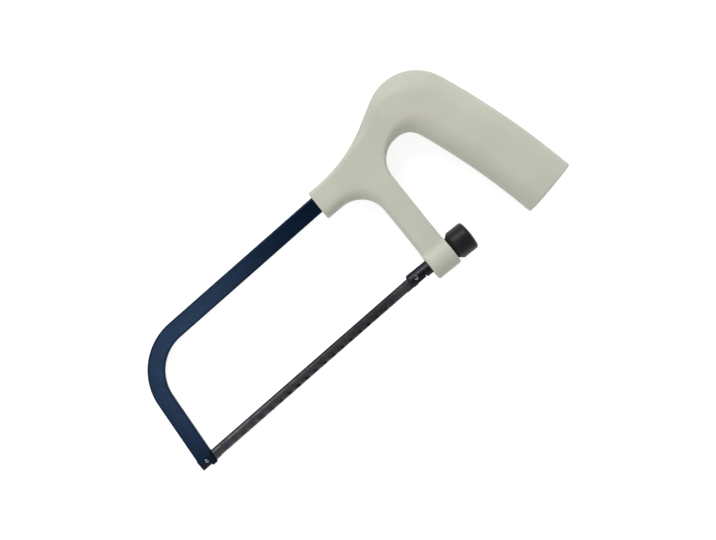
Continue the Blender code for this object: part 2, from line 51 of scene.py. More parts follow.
# The saw's own zero is the front blade pin: x back along the blade, y to the bar, z across
pinLow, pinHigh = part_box("front_blade_pin")
frontPin = (pinLow + pinHigh) / 2
screw = next(joint for joint in frame["joints"] if joint["name"] == "knob_turn")
screwCentre = Vector(screw["pos_m"])
screwTilt = math.atan2(screw["axis"][1], screw["axis"][0])


def at(x, y, z=0.0):
    return frontPin + Vector((x, y, z)) * mm


def polar(angle, length=1.0):
    return Vector((math.cos(math.radians(angle)), math.sin(math.radians(angle)), 0)) * length


# Small workshop: selecting, editing, cutting and finishing


def leave():
    if bpy.context.object and bpy.context.object.mode == "EDIT":
        bpy.ops.object.mode_set(mode="OBJECT")


def pick(obj):
    leave()
    bpy.ops.object.select_all(action="DESELECT")
    bpy.context.view_layer.objects.active = obj
    obj.select_set(True)


def edit(obj, kind="FACE", keep=None):
    pick(obj)
    bpy.ops.object.mode_set(mode="EDIT")
    bpy.ops.mesh.select_mode(type=kind)
    bpy.ops.mesh.select_all(action="DESELECT" if keep else "SELECT")
    if not keep:
        return
    bpy.ops.object.mode_set(mode="OBJECT")
    mesh = obj.data
    if kind == "FACE":
        for face in mesh.polygons:
            face.select = keep(face.center, face.normal)
    elif kind == "EDGE":
        for edge in mesh.edges:
            a, b = (mesh.vertices[i].co for i in edge.vertices)
            edge.select = keep((a + b) / 2, (b - a).normalized())
    else:
        for vertex in mesh.vertices:
            vertex.select = keep(vertex.co)
    bpy.ops.object.mode_set(mode="EDIT")


def named(name):
    obj = bpy.context.object
    obj.name = name
    obj.data.name = name
    return obj


def settle(obj):
    pick(obj)
    bpy.ops.object.transform_apply(location=True, rotation=True, scale=True)


def modify(obj, kind, **settings):
    pick(obj)
    step = obj.modifiers.new(kind.title(), kind)
    for key, value in settings.items():
        setattr(step, key, value)
    bpy.ops.object.modifier_apply(modifier=step.name)


def cut(obj, cutter):
    modify(obj, "BOOLEAN", object=cutter, operation="DIFFERENCE", solver="EXACT")
    bpy.data.objects.remove(cutter)


def heal(obj):
    # Closes the hairline gaps and slivers that cuts can leave
    hair = 0.005 * mm
    edit(obj, "VERT")
    bpy.ops.mesh.remove_doubles(threshold=hair)
    bpy.ops.mesh.dissolve_degenerate(threshold=hair)
    pick(obj)


def block(low, high):
    # A square cutter between two corners in metres
    leave()
    bpy.ops.mesh.primitive_cube_add(size=1, location=(low + high) / 2, scale=high - low)
    obj = bpy.context.object
    settle(obj)
    return obj


def post(place, radius, height, sides=48):
    # A round cutter that stands across the saw, sizes in millimetres
    leave()
    bpy.ops.mesh.primitive_cylinder_add(
        vertices=sides, radius=radius * mm, depth=height * mm, location=place,
    )
    obj = bpy.context.object
    settle(obj)
    return obj


def smooth(obj, angle):
    pick(obj)
    bpy.ops.object.shade_smooth_by_angle(angle=math.radians(angle))


def push(direction):
    bpy.ops.mesh.extrude_region_move(TRANSFORM_OT_translate={"value": direction})


def turned(name, profile, steps=96):
    # A ring of (along, radius) points in millimetres, spun about the x axis
    leave()
    bpy.ops.mesh.primitive_circle_add(vertices=len(profile), radius=mm)
    obj = named(name)
    for vertex, (along, radius) in zip(obj.data.vertices, profile):
        vertex.co = (along * mm, 0, radius * mm)
    edit(obj, "VERT")
    bpy.ops.mesh.spin(steps=steps, angle=2 * math.pi, center=(0, 0, 0), axis=(1, 0, 0))
    bpy.ops.mesh.select_all(action="SELECT")
    bpy.ops.mesh.remove_doubles(threshold=1e-6)
    bpy.ops.mesh.delete_loose()
    bpy.ops.mesh.select_all(action="SELECT")
    bpy.ops.mesh.normals_make_consistent(inside=False)
    pick(obj)
    return obj


def corner(along, radius, size, start, stop, steps=6):
    # Points of a rounded corner on a turned profile
    points = [polar(start + (stop - start) * i / steps, size) for i in range(steps + 1)]
    return [(along + p.x, radius + p.y) for p in points]


def alongScrew(place):
    # How far along the screw from the boss's middle, and how far above the axis, in millimetres
    run = (place - screwCentre) / mm
    across = polar(90 + math.degrees(screwTilt))
    return run.dot(Vector(screw["axis"])), run.dot(across)


def onScrew(obj):
    obj.rotation_euler.z = screwTilt
    obj.location = screwCentre
    settle(obj)


def fit(obj, body, node, finish):
    obj.data.materials.clear()
    obj.data.materials.append(finish)
    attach(obj, body)
    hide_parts(node)


# Finishes


class Finish:
    def __init__(self, name, color, metallic, roughness):
        self.material = bpy.data.materials.new(name)
        self.material.use_nodes = True
        self.tree = self.material.node_tree
        self.shader = self.tree.nodes["Principled BSDF"]
        self.shader.inputs["Base Color"].default_value = (*color, 1)
        self.shader.inputs["Metallic"].default_value = metallic
        self.shader.inputs["Roughness"].default_value = roughness
        self.coords = self.tree.nodes.new("ShaderNodeTexCoord").outputs["Object"]

    def add(self, kind, **inputs):
        node = self.tree.nodes.new("ShaderNode" + kind)
        for key, value in inputs.items():
            self.put(node.inputs[key], value)
        return node

    def put(self, socket, value):
        if isinstance(value, bpy.types.NodeSocket):
            self.tree.links.new(value, socket)
        else:
            socket.default_value = value

    def mapped(self, place=(0, 0, 0), turn=(0, 0, 0), stretch=(1, 1, 1)):
        node = self.add("Mapping", Vector=self.coords, Location=place, Rotation=turn, Scale=stretch)
        return node.outputs["Vector"]

    def noise(self, size, detail=2.0, vector=None):
        node = self.add("TexNoise", Vector=vector or self.coords, Scale=1 / (size * mm), Detail=detail)
        return node.outputs["Fac"]

    def ramp(self, value, low, high, outLow=0.0, outHigh=1.0):
        names = {"Value": value, "From Min": low, "From Max": high, "To Min": outLow, "To Max": outHigh}
        node = self.tree.nodes.new("ShaderNodeMapRange")
        for key, setting in names.items():
            self.put(node.inputs[key], setting)
        return node.outputs["Result"]

    def math(self, operation, a, b=0.0):
        node = self.tree.nodes.new("ShaderNodeMath")
        node.operation = operation
        self.put(node.inputs[0], a)
        self.put(node.inputs[1], b)
        return node.outputs[0]

    def near(self, place, reach, core=0.55):
        # 1 round a place on the saw's side, falling from a core to 0 at a reach in millimetres
        node = self.tree.nodes.new("ShaderNodeVectorMath")
        node.operation = "DISTANCE"
        self.put(node.inputs[0], self.mapped(stretch=(1, 1, 0)))
        node.inputs[1].default_value = (place.x, place.y, 0)
        return self.ramp(node.outputs["Value"], core * reach * mm, reach * mm, 1.0, 0.0)

    def mix(self, share, a, b):
        node = self.tree.nodes.new("ShaderNodeMix")
        node.data_type = "RGBA"
        self.put(node.inputs["Factor"], share)
        for key, value in ((6, a), (7, b)):
            self.put(node.inputs[key], value if isinstance(value, bpy.types.NodeSocket) else (*value, 1))
        return node.outputs[2]

    def scale(self, color, amount):
        node = self.tree.nodes.new("ShaderNodeVectorMath")
        node.operation = "SCALE"
        self.put(node.inputs[0], color)
        self.put(node.inputs["Scale"], amount)
        return node.outputs[0]

    def bump(self, height, depth):
        return self.add("Bump", Height=height, Distance=depth * mm, Strength=1.0).outputs["Normal"]

    def set(self, **inputs):
        for key, value in inputs.items():
            self.put(self.shader.inputs[key.replace("_", " ")], value)


def shade(color, amount):
    return tuple(c * amount for c in color)


def greyMoulding():
    look = {"color": (0.515, 0.521, 0.440), "grain": 0.35, "grainDepth": 0.012, "blotch": 22.0}
    f = Finish("grey_moulding", look["color"], 0.0, 0.5)
    blotch = f.noise(look["blotch"], 3.0)
    warm = shade(look["color"], 0.965)
    f.set(Base_Color=f.mix(f.ramp(blotch, 0.35, 0.65), warm, shade(look["color"], 1.02)))
    grain = f.noise(look["grain"], 3.0)
    f.set(Roughness=f.ramp(f.noise(2.5, 3.0), 0.3, 0.7, 0.42, 0.56))
    f.set(Normal=f.bump(grain, look["grainDepth"]))
    f.set(Specular_IOR_Level=0.4)
    return f.material


def navyPaint():
    look = {
        # The third colour here is the painted shade laid on the hook's lobe
        "color": (0.0046, 0.0195, 0.052), "bare": (0.16, 0.175, 0.19), "paintedShading": (0.003, 0.006, 0.012),
        "peel": 1.6, "peelDepth": 0.004,
        "lobe": (5.4, -0.6), "lobeReach": 4.6, "tip": (-1.6, -1.2), "tipReach": 2.2,
    }
    f = Finish("navy_paint", look["color"], 0.65, 0.25)
    cloudy = f.ramp(f.noise(5.0, 4.0), 0.3, 0.7)
    painted = f.mix(cloudy, shade(look["color"], 0.85), shade(look["color"], 1.15))
    # Painted shade: the hook's lobe is darkened where a lower, bevelled lobe would lie in shade, and its tip
    # is chipped to grey primer
    dark = f.near(at(*look["lobe"]), look["lobeReach"])
    painted = f.mix(f.math("MULTIPLY", dark, 0.9), painted, look["paintedShading"])
    chips = f.ramp(f.noise(0.7, 3.0), 0.55, 0.66)
    tip = f.near(at(*look["tip"]), look["tipReach"])
    painted = f.mix(f.math("MULTIPLY", chips, tip), painted, look["bare"])
    f.set(Base_Color=painted)
    f.set(Roughness=f.ramp(f.noise(1.2, 3.0), 0.3, 0.7, 0.21, 0.28))
    f.set(Normal=f.bump(f.noise(look["peel"], 1.0), look["peelDepth"]))
    f.set(Specular_Tint=(0.75, 0.78, 0.8, 1))
    return f.material


def blackPlastic():
    look = {"color": (0.0105, 0.011, 0.013), "grain": 0.3, "grainDepth": 0.015}
    f = Finish("black_plastic", look["color"], 0.0, 0.42)
    f.set(Base_Color=f.mix(f.noise(3.0, 2.0), shade(look["color"], 0.85), shade(look["color"], 1.2)))
    f.set(Roughness=f.ramp(f.noise(1.5, 3.0), 0.3, 0.7, 0.4, 0.52))
    f.set(Normal=f.bump(f.noise(look["grain"], 3.0), look["grainDepth"]))
    f.set(Specular_IOR_Level=0.3)
    return f.material


def turnedSteel(name, color, roughness, pitch, edge=1.0):
    # edge darkens the metal where it is seen at a glancing angle, as an oxide skin does
    f = Finish(name, color, 1.0, roughness)
    f.set(Specular_Tint=(edge, edge, edge, 1))
    rings = f.noise(pitch, 3.0, f.mapped(turn=(0, 0, -screwTilt), stretch=(1, 0.03, 0.03)))
    f.set(Base_Color=f.mix(f.noise(2.0, 3.0), shade(color, 0.85), shade(color, 1.15)))
    f.set(Roughness=f.ramp(rings, 0.3, 0.7, roughness * 0.8, roughness * 1.2))
    f.set(Normal=f.bump(rings, 0.004))
    return f.material


# The blade's sizes stand here because its finish follows them
blade = {
    "width": 6.0, "rise": -0.2, "thickness": 0.65, "overhang": 4.7, "pins": 150.0, "hole": 1.12,
    "drill": 3.0, "clear": 8.0, "pitch": 25.4 / 32, "depth": 0.5, "columns": 4, "rows": 8,
    "setFrom": 0.55, "setCurve": 1.4, "setSwing": 0.2, "setPeriod": 6.25,
}


def bladeSteel():
    look = {
        # The second colour here is a painted reflection for the blade's back
        "color": (0.052, 0.053, 0.056), "paintedShading": (0.16, 0.162, 0.17), "teeth": (0.08, 0.08, 0.084),
        # The first colour on the next line is a painted shade for the hollows of the set
        "setShade": (0.012, 0.012, 0.014), "blued": (0.044, 0.05, 0.066), "mottle": 0.8, "grind": 0.3,
    }
    f = Finish("blade_steel", look["color"], 0.9, 0.42)
    place = f.add("SeparateXYZ", Vector=f.mapped(place=-frontPin / mm, stretch=(1 / mm,) * 3))
    x, y = place.outputs["X"], place.outputs["Y"]
    # Painted reflection: a lighter band along the back, brightest near the two ends and over the rear end,
    # where the lamps are reflected; the teeth are a lighter grey
    ends = f.math("MAXIMUM", f.ramp(x, 20, 100, 1.0, 0.3), f.ramp(x, 131, 139, 0.0, 1.0))
    back = f.math("MULTIPLY", f.ramp(y, 0.6, 1.2), f.ramp(y, 1.7, 2.1, 1.0, 0.0))
    body = f.mix(f.math("MULTIPLY", back, ends), look["color"], look["paintedShading"])
    body = f.mix(f.ramp(x, 128, 142, 0.0, 0.5), body, shade(look["color"], 2.4))
    body = f.mix(f.ramp(y, -2.3, -1.5, 1.0, 0.0), body, look["teeth"])
    # Painted shade in the hollows of the wavy set, where the set leans away from the light
    turn = f.math("MULTIPLY", f.math("SUBTRACT", x, blade["clear"]), 2 * math.pi / blade["setPeriod"])
    hollow = f.ramp(f.math("COSINE", turn), -0.1, 0.9)
    low = f.math("MULTIPLY", hollow, f.ramp(y, -1.7, -0.6, 1.0, 0.0))
    middle = f.math("MULTIPLY", f.ramp(x, 35, 55), f.ramp(x, 124, 134, 1.0, 0.0))
    body = f.mix(f.math("MULTIPLY", low, middle), body, look["setShade"])
    body = f.mix(f.ramp(f.noise(5.0, 2.0), 0.5, 0.65, 0.0, 0.5), body, look["blued"])
    # Painted reflection: brighter towards the front end, rising from 50 mm to 10 mm from the front pin;
    # darker again ahead of 5 mm, down to about a third at 2 mm
    body = f.scale(body, f.math("MULTIPLY", f.ramp(x, 10, 50, 1.75, 1.42), f.ramp(x, 2, 5, 0.35, 1.0)))
    mottle = f.ramp(f.noise(look["mottle"], 4.0), 0.3, 0.7, 0.65, 1.35)
    grind = f.noise(look["grind"], 3.0, f.mapped(stretch=(1, 0.08, 1)))
    streaks = f.ramp(grind, 0.3, 0.7, 0.8, 1.2)
    f.set(Base_Color=f.scale(body, f.math("MULTIPLY", mottle, streaks)))
    f.set(Roughness=f.ramp(grind, 0.3, 0.7, 0.34, 0.5))
    f.set(Normal=f.bump(grind, 0.006))
    return f.material


finishes = {
    "handle": greyMoulding(),
    "bar": navyPaint(),
    "knob": blackPlastic(),
    "rod": turnedSteel("blackened_steel", (0.05, 0.049, 0.059), 0.44, 0.3, 0.15),
    "blade": bladeSteel(),
    "pin": turnedSteel("pin_steel", (0.46, 0.475, 0.49), 0.34, 0.2),
    "washer": turnedSteel("plain_washer", (0.5, 0.5, 0.51), 0.3, 0.25),
    "insert": turnedSteel("turned_brass", (0.55, 0.4, 0.15), 0.3, 0.25),
}
print("finishes:", len(finishes))

# Frame bar: a flat section pushed along the bar, spun round the bend and pushed down the arm
bar = {
    "width": 9.6, "height": 64.75, "rise": 0.25, "lean": 6.7, "setback": 0.33, "bend": 33.4, "bendSteps": 40,
    "collar": 135.1, "intoCollar": 2.0, "edge": 0.9, "seat": 1.12, "prong": 1.05,
    "hookDepth": 4.2, "hookCorner": 1.0, "hookSlack": 0.1, "slot": 1.05, "slotTop": 4.2,
}


def makeBar():
    low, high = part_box("frame_bar")
    along, above = polar(bar["rise"]), polar(90 + bar["rise"])
    upArm, outArm = polar(90 - bar["lean"]), polar(180 - bar["lean"])
    foot = Vector((bar["setback"], 0, 0))
    start = Vector((bar["collar"], bar["height"], 0)) + along * bar["intoCollar"]
    inset = bar["bend"] - bar["width"] / 2
    armLine = foot - outArm * inset
    barLine = start - above * inset
    bend = geometry.intersect_line_line(armLine, armLine + upArm, barLine, barLine + along)[0]
    turn = (0, math.pi / 2, math.radians(bar["rise"]))
    bpy.ops.mesh.primitive_plane_add(size=1, location=at(*start), rotation=turn)
    obj = named("painted_frame_bar")
    obj.scale = (high.z - low.z, bar["width"] * mm, 1)
    settle(obj)
    edit(obj)
    push((bend + above * inset - start) * mm)
    sweep = math.radians(90 - bar["rise"] - bar["lean"])
    bpy.ops.mesh.spin(steps=bar["bendSteps"], angle=-sweep, center=at(*bend), axis=(0, 0, 1))
    push((foot - upArm * 2 * bar["hookDepth"] - (bend + outArm * inset)) * mm)
    bpy.ops.mesh.select_all(action="SELECT")
    bpy.ops.mesh.normals_make_consistent(inside=False)
    # The arm's end: cut level, then cut away in front of the lobe and round the pin
    level = at(0, -bar["hookDepth"])
    bpy.ops.mesh.bisect(plane_co=level, plane_no=(0, 1, 0), use_fill=True, clear_inner=True)
    seat, reach = bar["seat"], 2 * bar["width"]
    cut(obj, block(at(-reach, -reach, -reach), at(0, -bar["prong"], reach)))
    cut(obj, block(at(-seat, -reach, -reach), at(seat, 0, reach)))
    cut(obj, post(at(0, 0), seat, reach))
    lowest = at(0, -bar["hookDepth"] + bar["hookSlack"]).y
    edit(obj, "EDGE", lambda middle, run: abs(run.z) > 0.99 and middle.y < lowest)
    bpy.ops.mesh.bevel(offset=bar["hookCorner"] * mm, segments=6, affect="EDGES")
    modify(
        obj, "BEVEL", width=bar["edge"] * mm, segments=4,
        limit_method="ANGLE", angle_limit=math.radians(50), use_clamp_overlap=False,
    )
    cut(obj, block(at(-reach, -reach, -bar["slot"] / 2), at(reach, bar["slotTop"], bar["slot"] / 2)))
    smooth(obj, 40)
    modify(obj, "WEIGHTED_NORMAL", keep_sharp=True)
    return obj


frameBar = makeBar()
fit(frameBar, "frame", "frame_bar", finishes["bar"])
print("frame bar:", len(frameBar.data.polygons), "faces")

# Handle: the frame's solid is closed where the bar sits, remeshed finely and eased. Its two ends are
# cut back to crisp faces, and the boss, its bores and the bar's mouth are made again with sharp rims
moulding = {
    "voxel": 0.5, "passes": 7, "spare": 4.0, "endDepth": 1.2, "endReach": 40.0,
    "rimSteps": 4, "slack": 0.05, "join": 0.4,
    "collarFoot": (135.1, 54.9), "collarLean": 2.3, "collarRim": 0.9,
    "gripCentre": (-172.696, -73.834), "gripMiddle": 413.5, "gripEnd": 8.727, "gripRim": 0.9,
    "mouthGap": 0.1, "mouthDepth": 2.6, "near": 0.5,
}
boss = {
    "half": 7.55, "radius": 8.85, "round": 1.0, "roundSteps": 5, "sides": 128, "rod": 4.0, "rodFloor": -0.3,
    "shank": 3.35, "flats": 2.65, "spill": 1.0, "washer": 6.15, "washerFloor": 6.35,
    "sink": 0.5, "skin": 0.03, "endSkin": 0.12,
}


def fillHollow(obj):
    # Closes the hollow that the bar sits in, so that the moulding is eased as one solid piece
    low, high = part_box("frame_bar")
    foot = at(bar["collar"], bar["height"])
    along, across = polar(bar["rise"]), polar(bar["rise"] + 90)
    near = moulding["near"] * mm
    wide, deep, length = bar["width"] / 2 * mm + near, (high.z - low.z) / 2 + near, high.x - foot.x + near

    def inHollow(middle, normal):
        run = middle - foot
        return near < run.dot(along) < length and abs(run.dot(across)) < wide and abs(run.z) < deep

    edit(obj, "FACE", inHollow)
    bpy.ops.mesh.delete(type="FACE")
    bpy.ops.mesh.select_mode(type="EDGE")
    bpy.ops.mesh.select_non_manifold()
    bpy.ops.mesh.edge_face_add()
    pick(obj)


def pushEnd(obj, place, outward):
    # Draws one end of the moulding out, so that the easing doesn't soften the face cut later
    for vertex in obj.data.vertices:
        run = vertex.co - place
        if run.dot(outward) > -moulding["endDepth"] * mm and run.length < moulding["endReach"] * mm:
            vertex.co += outward * moulding["spare"] * mm


def trimEnd(obj, place, outward, rim):
    # Cuts the drawn-out end back to a flat face with a small round rim
    base = place - outward * rim * mm

    def onCut(middle, normal):
        return abs((middle - base).dot(outward)) < moulding["slack"] * mm and normal.dot(outward) > 0.999

    edit(obj)
    bpy.ops.mesh.bisect(plane_co=base, plane_no=outward, use_fill=True, clear_outer=True)
    edit(obj, "FACE", onCut)
    bpy.ops.mesh.remove_doubles(threshold=moulding["join"] * mm)
    leave()
    for vertex in obj.data.vertices:
        if vertex.select:
            vertex.co -= outward * (vertex.co - base).dot(outward)
    bpy.ops.object.mode_set(mode="EDIT")
    steps = moulding["rimSteps"]
    for i in range(steps):
        here, there = polar(90 * i / steps, rim * mm), polar(90 * (i + 1) / steps, rim * mm)
        bpy.ops.mesh.inset(thickness=here.x - there.x, depth=there.y - here.y, use_even_offset=False)
    pick(obj)


def sinkBoss(obj):
    # Draws the eased boss inside its turned shape, so that the two skins don't lie in one place
    along, across = Vector(screw["axis"]), polar(90 + math.degrees(screwTilt))
    far, reach = boss["half"] - boss["sink"], boss["radius"] - boss["sink"]
    for vertex in obj.data.vertices:
        run, up = alongScrew(vertex.co)
        side = (vertex.co.z - screwCentre.z) / mm
        out = math.hypot(up, side)
        if abs(run) < boss["half"] + boss["endSkin"] and out < boss["radius"] + boss["skin"]:
            pull = reach / max(reach, out)
            run = max(-far, min(far, run))
            vertex.co = screwCentre + (along * run + across * up * pull + Vector((0, 0, side * pull))) * mm


def makeBores(obj):
    b = boss
    sinkBoss(obj)
    rim = corner(b["half"] - b["round"], b["radius"] - b["round"], b["round"], 90, 0, b["roundSteps"])
    frontRim = [(-along, radius) for along, radius in reversed(rim)]
    solid = turned("boss", [(-b["half"], 0)] + frontRim + rim + [(b["half"], 0)], b["sides"])
    onScrew(solid)
    modify(obj, "BOOLEAN", object=solid, operation="UNION", solver="EXACT")
    bpy.data.objects.remove(solid)

    def drill(name, start, stop, radius):
        return turned(name, [(start, 0), (start, radius), (stop, radius), (stop, 0)])

    rodBore = drill("rod_bore", -2 * b["half"], b["rodFloor"], b["rod"])
    washerBore = drill("washer_bore", b["washerFloor"], 2 * b["half"], b["washer"])
    shankBore = drill("shank_bore", b["rodFloor"] - b["spill"], b["washerFloor"] + b["spill"], b["shank"])
    for side in (1, -1):
        edit(shankBore)
        plane = {"plane_co": (0, 0, side * b["flats"] * mm), "plane_no": (0, 0, side), "threshold": 1e-6}
        bpy.ops.mesh.bisect(**plane, use_fill=True, clear_outer=True)
    for bore in (rodBore, washerBore, shankBore):
        onScrew(bore)
        cut(obj, bore)
        heal(obj)


def makeHandle():
    obj = bpy.data.objects.new("handle_moulding", nodes["handle"].data.copy())
    bpy.context.scene.collection.objects.link(obj)
    edit(obj, "VERT")
    bpy.ops.mesh.remove_doubles(threshold=1e-6)
    pick(obj)
    m = moulding
    collar, collarOut = at(*m["collarFoot"]), polar(180 - m["collarLean"])
    gripEnd = at(*m["gripCentre"]) + polar(m["gripEnd"], m["gripMiddle"] * mm)
    gripOut = polar(m["gripEnd"] - 90)
    fillHollow(obj)
    pushEnd(obj, collar, collarOut)
    pushEnd(obj, gripEnd, gripOut)
    modify(obj, "REMESH", mode="VOXEL", voxel_size=m["voxel"] * mm)
    modify(obj, "SMOOTH", factor=0.5, iterations=m["passes"])
    trimEnd(obj, collar, collarOut, m["collarRim"])
    trimEnd(obj, gripEnd, gripOut, m["gripRim"])
    makeBores(obj)
    # The bar goes a little way into the collar
    low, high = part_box("frame_bar")
    wide, deep = bar["width"] / 2 + m["mouthGap"], (high.z - low.z) / 2 / mm + m["mouthGap"]
    half = Vector((m["mouthDepth"], wide, deep)) * mm
    mouth = block(-half, half)
    mouth.rotation_euler.z = math.radians(bar["rise"])
    mouth.location = at(bar["collar"], bar["height"])
    settle(mouth)
    cut(obj, mouth)
    smooth(obj, 45)
    modify(obj, "WEIGHTED_NORMAL", keep_sharp=True)
    return obj


handle = makeHandle()
fit(handle, "frame", "handle", finishes["handle"])
print("handle:", len(handle.data.polygons), "faces")

# Blade: one tooth's strip, repeated, waved along its toothed edge and given its thickness


def makeBlade():
    tips = blade["rise"] - blade["width"] / 2
    back = blade["rise"] + blade["width"] / 2
    teeth = int((blade["pins"] - 2 * blade["clear"]) / blade["pitch"])
    columns = blade["columns"]
    bpy.ops.mesh.primitive_grid_add(x_subdivisions=columns, y_subdivisions=blade["rows"], size=2)
    obj = named("toothed_blade")
    # From a tip the edge climbs to the gullet over all columns but the last, then drops to the next tip
    gullet = 1 - 1 / columns
    for vertex in obj.data.vertices:
        across, up = (vertex.co.x + 1) / 2, (vertex.co.y + 1) / 2
        tooth = blade["depth"] * (across / gullet if across < (gullet + 1) / 2 else 0)
        bottom = tips + tooth
        vertex.co = at(blade["clear"] + across * blade["pitch"], bottom + (back - bottom) * up)
    modify(
        obj, "ARRAY", count=teeth, use_relative_offset=False, use_constant_offset=True,
        constant_offset_displace=(blade["pitch"] * mm, 0, 0), use_merge_vertices=True, merge_threshold=1e-5,
    )
    first, last = at(blade["clear"], 0).x, at(blade["clear"] + teeth * blade["pitch"], 0).x
    for end, goal in ((first, -blade["overhang"]), (last, blade["pins"] + blade["overhang"])):
        edit(obj, "EDGE", lambda middle, run: abs(run.y) > 0.99 and abs(middle.x - end) < 1e-5)
        push((at(goal, 0).x - end, 0, 0))
    pick(obj)
    for vertex in obj.data.vertices:
        x, y = (vertex.co - frontPin).xy / mm
        inside = min(vertex.co.x - first, last - vertex.co.x) / mm / blade["setPeriod"]
        down = (back - y) / blade["width"]
        lean = max(0.0, (down - blade["setFrom"]) / (1 - blade["setFrom"])) ** blade["setCurve"]
        wave = math.sin(2 * math.pi * (x - blade["clear"]) / blade["setPeriod"])
        vertex.co.z += blade["setSwing"] * mm * max(0.0, min(1.0, inside)) * lean * wave
    modify(obj, "SOLIDIFY", thickness=blade["thickness"] * mm, offset=0.0)
    for x in (0, blade["pins"]):
        cut(obj, post(at(x, 0), blade["hole"], blade["drill"]))
    smooth(obj, 30)
    return obj


bladeStrip = makeBlade()
fit(bladeStrip, "blade", "blade", finishes["blade"])
print("blade:", len(bladeStrip.data.polygons), "faces")

# Blade pins: short rivets with domed ends
pin = {"radius": 1.0, "dome": 0.7, "steps": 8, "sides": 32}


def makePin(name, node):
    low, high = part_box(node)
    half = (high.z - low.z) / 2 / mm
    arc = [polar(90 - 90 * i / pin["steps"]) for i in range(pin["steps"] + 1)]
    top = [(half - pin["dome"] * (1 - p.x), pin["radius"] * p.y) for p in arc]
    under = [(-along, radius) for along, radius in reversed(top)]
    obj = turned(name, under + top, pin["sides"])
    obj.rotation_euler.y = -math.pi / 2
    obj.location = (low + high) / 2
    settle(obj)
    smooth(obj, 40)
    return obj


for name, node in (("front_pin_rivet", "front_blade_pin"), ("rear_pin_rivet", "rear_blade_pin")):
    fit(makePin(name, node), "blade", node, finishes["pin"])
print("pins: 2")

# Tension rod: turned with its shank and thread, then flatted, slotted and notched
rod = {
    "hook": 4.6, "frontRound": 1.3, "shoulder": -2.3, "shoulderChamfer": 0.2, "sides": 72,
    "shank": 3.2, "flats": 2.5, "shankEnd": 6.1, "thread": 2.5, "tail": 18.6, "tailChamfer": 0.6,
    "slot": 1.05, "slotReach": 9.2, "seat": 1.12, "seatRound": 0.99,
    "travel": 4.0, "hollow": 1.25, "hollowHalf": 2.82,
}


def makeRod():
    low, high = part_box("tension_rod")
    pinLow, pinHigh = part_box("rear_blade_pin")
    x, y = alongScrew((pinLow + pinHigh) / 2)
    r, c = (high.z - low.z) / 2 / mm, rod["frontRound"]
    front = x - rod["hook"]
    profile = [(front, 0)] + corner(front + c, r - c, c, 180, 90, 6)
    shoulder, chamfer = rod["shoulder"], rod["shoulderChamfer"]
    profile += [(shoulder - chamfer, r), (shoulder, r - chamfer), (shoulder, rod["shank"])]
    profile += [(rod["shankEnd"], rod["shank"]), (rod["shankEnd"], rod["thread"])]
    profile += [(rod["tail"] - rod["tailChamfer"], rod["thread"])]
    profile += [(rod["tail"], rod["thread"] - rod["tailChamfer"]), (rod["tail"], 0)]
    obj = turned("blade_holder_rod", profile, rod["sides"])
    reach = 2 * r
    for side in (1, -1):
        near, far = sorted((side * rod["flats"], side * reach))
        cut(obj, block(Vector((shoulder, -reach, near)) * mm, Vector((rod["shankEnd"], reach, far)) * mm))
    half = rod["slot"] / 2
    slotEnd = x + rod["slotReach"]
    cut(obj, block(Vector((front - reach, -reach, -half)) * mm, Vector((slotEnd, reach, half)) * mm))
    # The pin's seat is a notch from below with a round roof
    s = rod["seat"]
    notch = block(Vector((x - s, -reach, -reach)) * mm, Vector((x + s, y + s, reach)) * mm)
    edit(notch, "EDGE", lambda middle, run: abs(run.z) > 0.99 and middle.y > y * mm)
    bpy.ops.mesh.bevel(offset=rod["seatRound"] * s * mm, segments=12, affect="EDGES")
    cut(obj, notch)
    # Behind the pin the hook is hollow from below, so that the rod can run forward past the pin
    far, roof, half = x + rod["travel"], y + rod["hollow"], rod["hollowHalf"]
    hollow = block(Vector((x, -reach, -half)) * mm, Vector((far + rod["hollow"], roof, half)) * mm)

    def farRoof(middle, run):
        return abs(run.z) > 0.99 and middle.x > far * mm and middle.y > y * mm

    edit(hollow, "EDGE", farRoof)
    bpy.ops.mesh.bevel(offset=rod["hollow"] * mm, segments=8, affect="EDGES")
    cut(obj, hollow)
    heal(obj)
    onScrew(obj)
    smooth(obj, 35)
    return obj


tensionRod = makeRod()
fit(tensionRod, "rod", "tension_rod", finishes["rod"])
print("rod:", len(tensionRod.data.polygons), "faces")

# Knob, its brass bush and the washer in front of it
knob = {
    "face": 7.8, "length": 13.1, "radius": 8.3, "chamfer": 2.4, "chamferDrop": 1.92,
    "faceRound": 0.3, "edgeRound": 0.5, "round": 1.8, "dome": 0.6, "domeSteps": 5, "sides": 128,
    "endWall": 1.8, "bush": 4.2, "bushLength": 8.0, "thread": 2.75, "gap": 0.15,
}
bush = {
    "near": knob["face"], "far": knob["face"] + knob["bushLength"],
    "inner": 2.58, "outer": knob["bush"], "edge": 0.2,
}
washer = {"near": 6.5, "far": 7.4, "inner": 2.75, "outer": 6.0, "edge": 0.12}
ringSides = 72


def makeKnob():
    k = knob
    end = k["face"] + k["length"]
    roundAt = end - k["dome"] - k["round"]
    profile = [(k["face"], k["bush"] + k["gap"])]
    small, edge = k["faceRound"], k["edgeRound"]
    profile += corner(k["face"] + small, k["radius"] - k["chamferDrop"] - small, small, 180, 120, 3)
    profile += corner(k["face"] + k["chamfer"] + small, k["radius"] - edge, edge, 125, 90, 4)
    profile += corner(roundAt, k["radius"] - k["round"], k["round"], 90, 8, 8)
    flat, steps = k["radius"] - k["round"], k["domeSteps"]
    profile += [(end - k["dome"] * (i / steps) ** 2, flat * i / steps) for i in reversed(range(steps))]
    wall = end - k["endWall"]
    bushEnd = k["face"] + k["bushLength"] + k["gap"]
    profile += [(wall, 0), (wall, k["thread"]), (bushEnd, k["thread"]), (bushEnd, k["bush"] + k["gap"])]
    obj = turned("black_knob", profile, k["sides"])
    onScrew(obj)
    smooth(obj, 35)
    return obj


def makeRing(name, near, far, inner, outer, edge):
    profile = [(near, inner), (near, outer - edge), (near + edge, outer)]
    profile += [(far - edge, outer), (far, outer - edge), (far, inner)]
    obj = turned(name, profile, ringSides)
    onScrew(obj)
    smooth(obj, 35)
    return obj


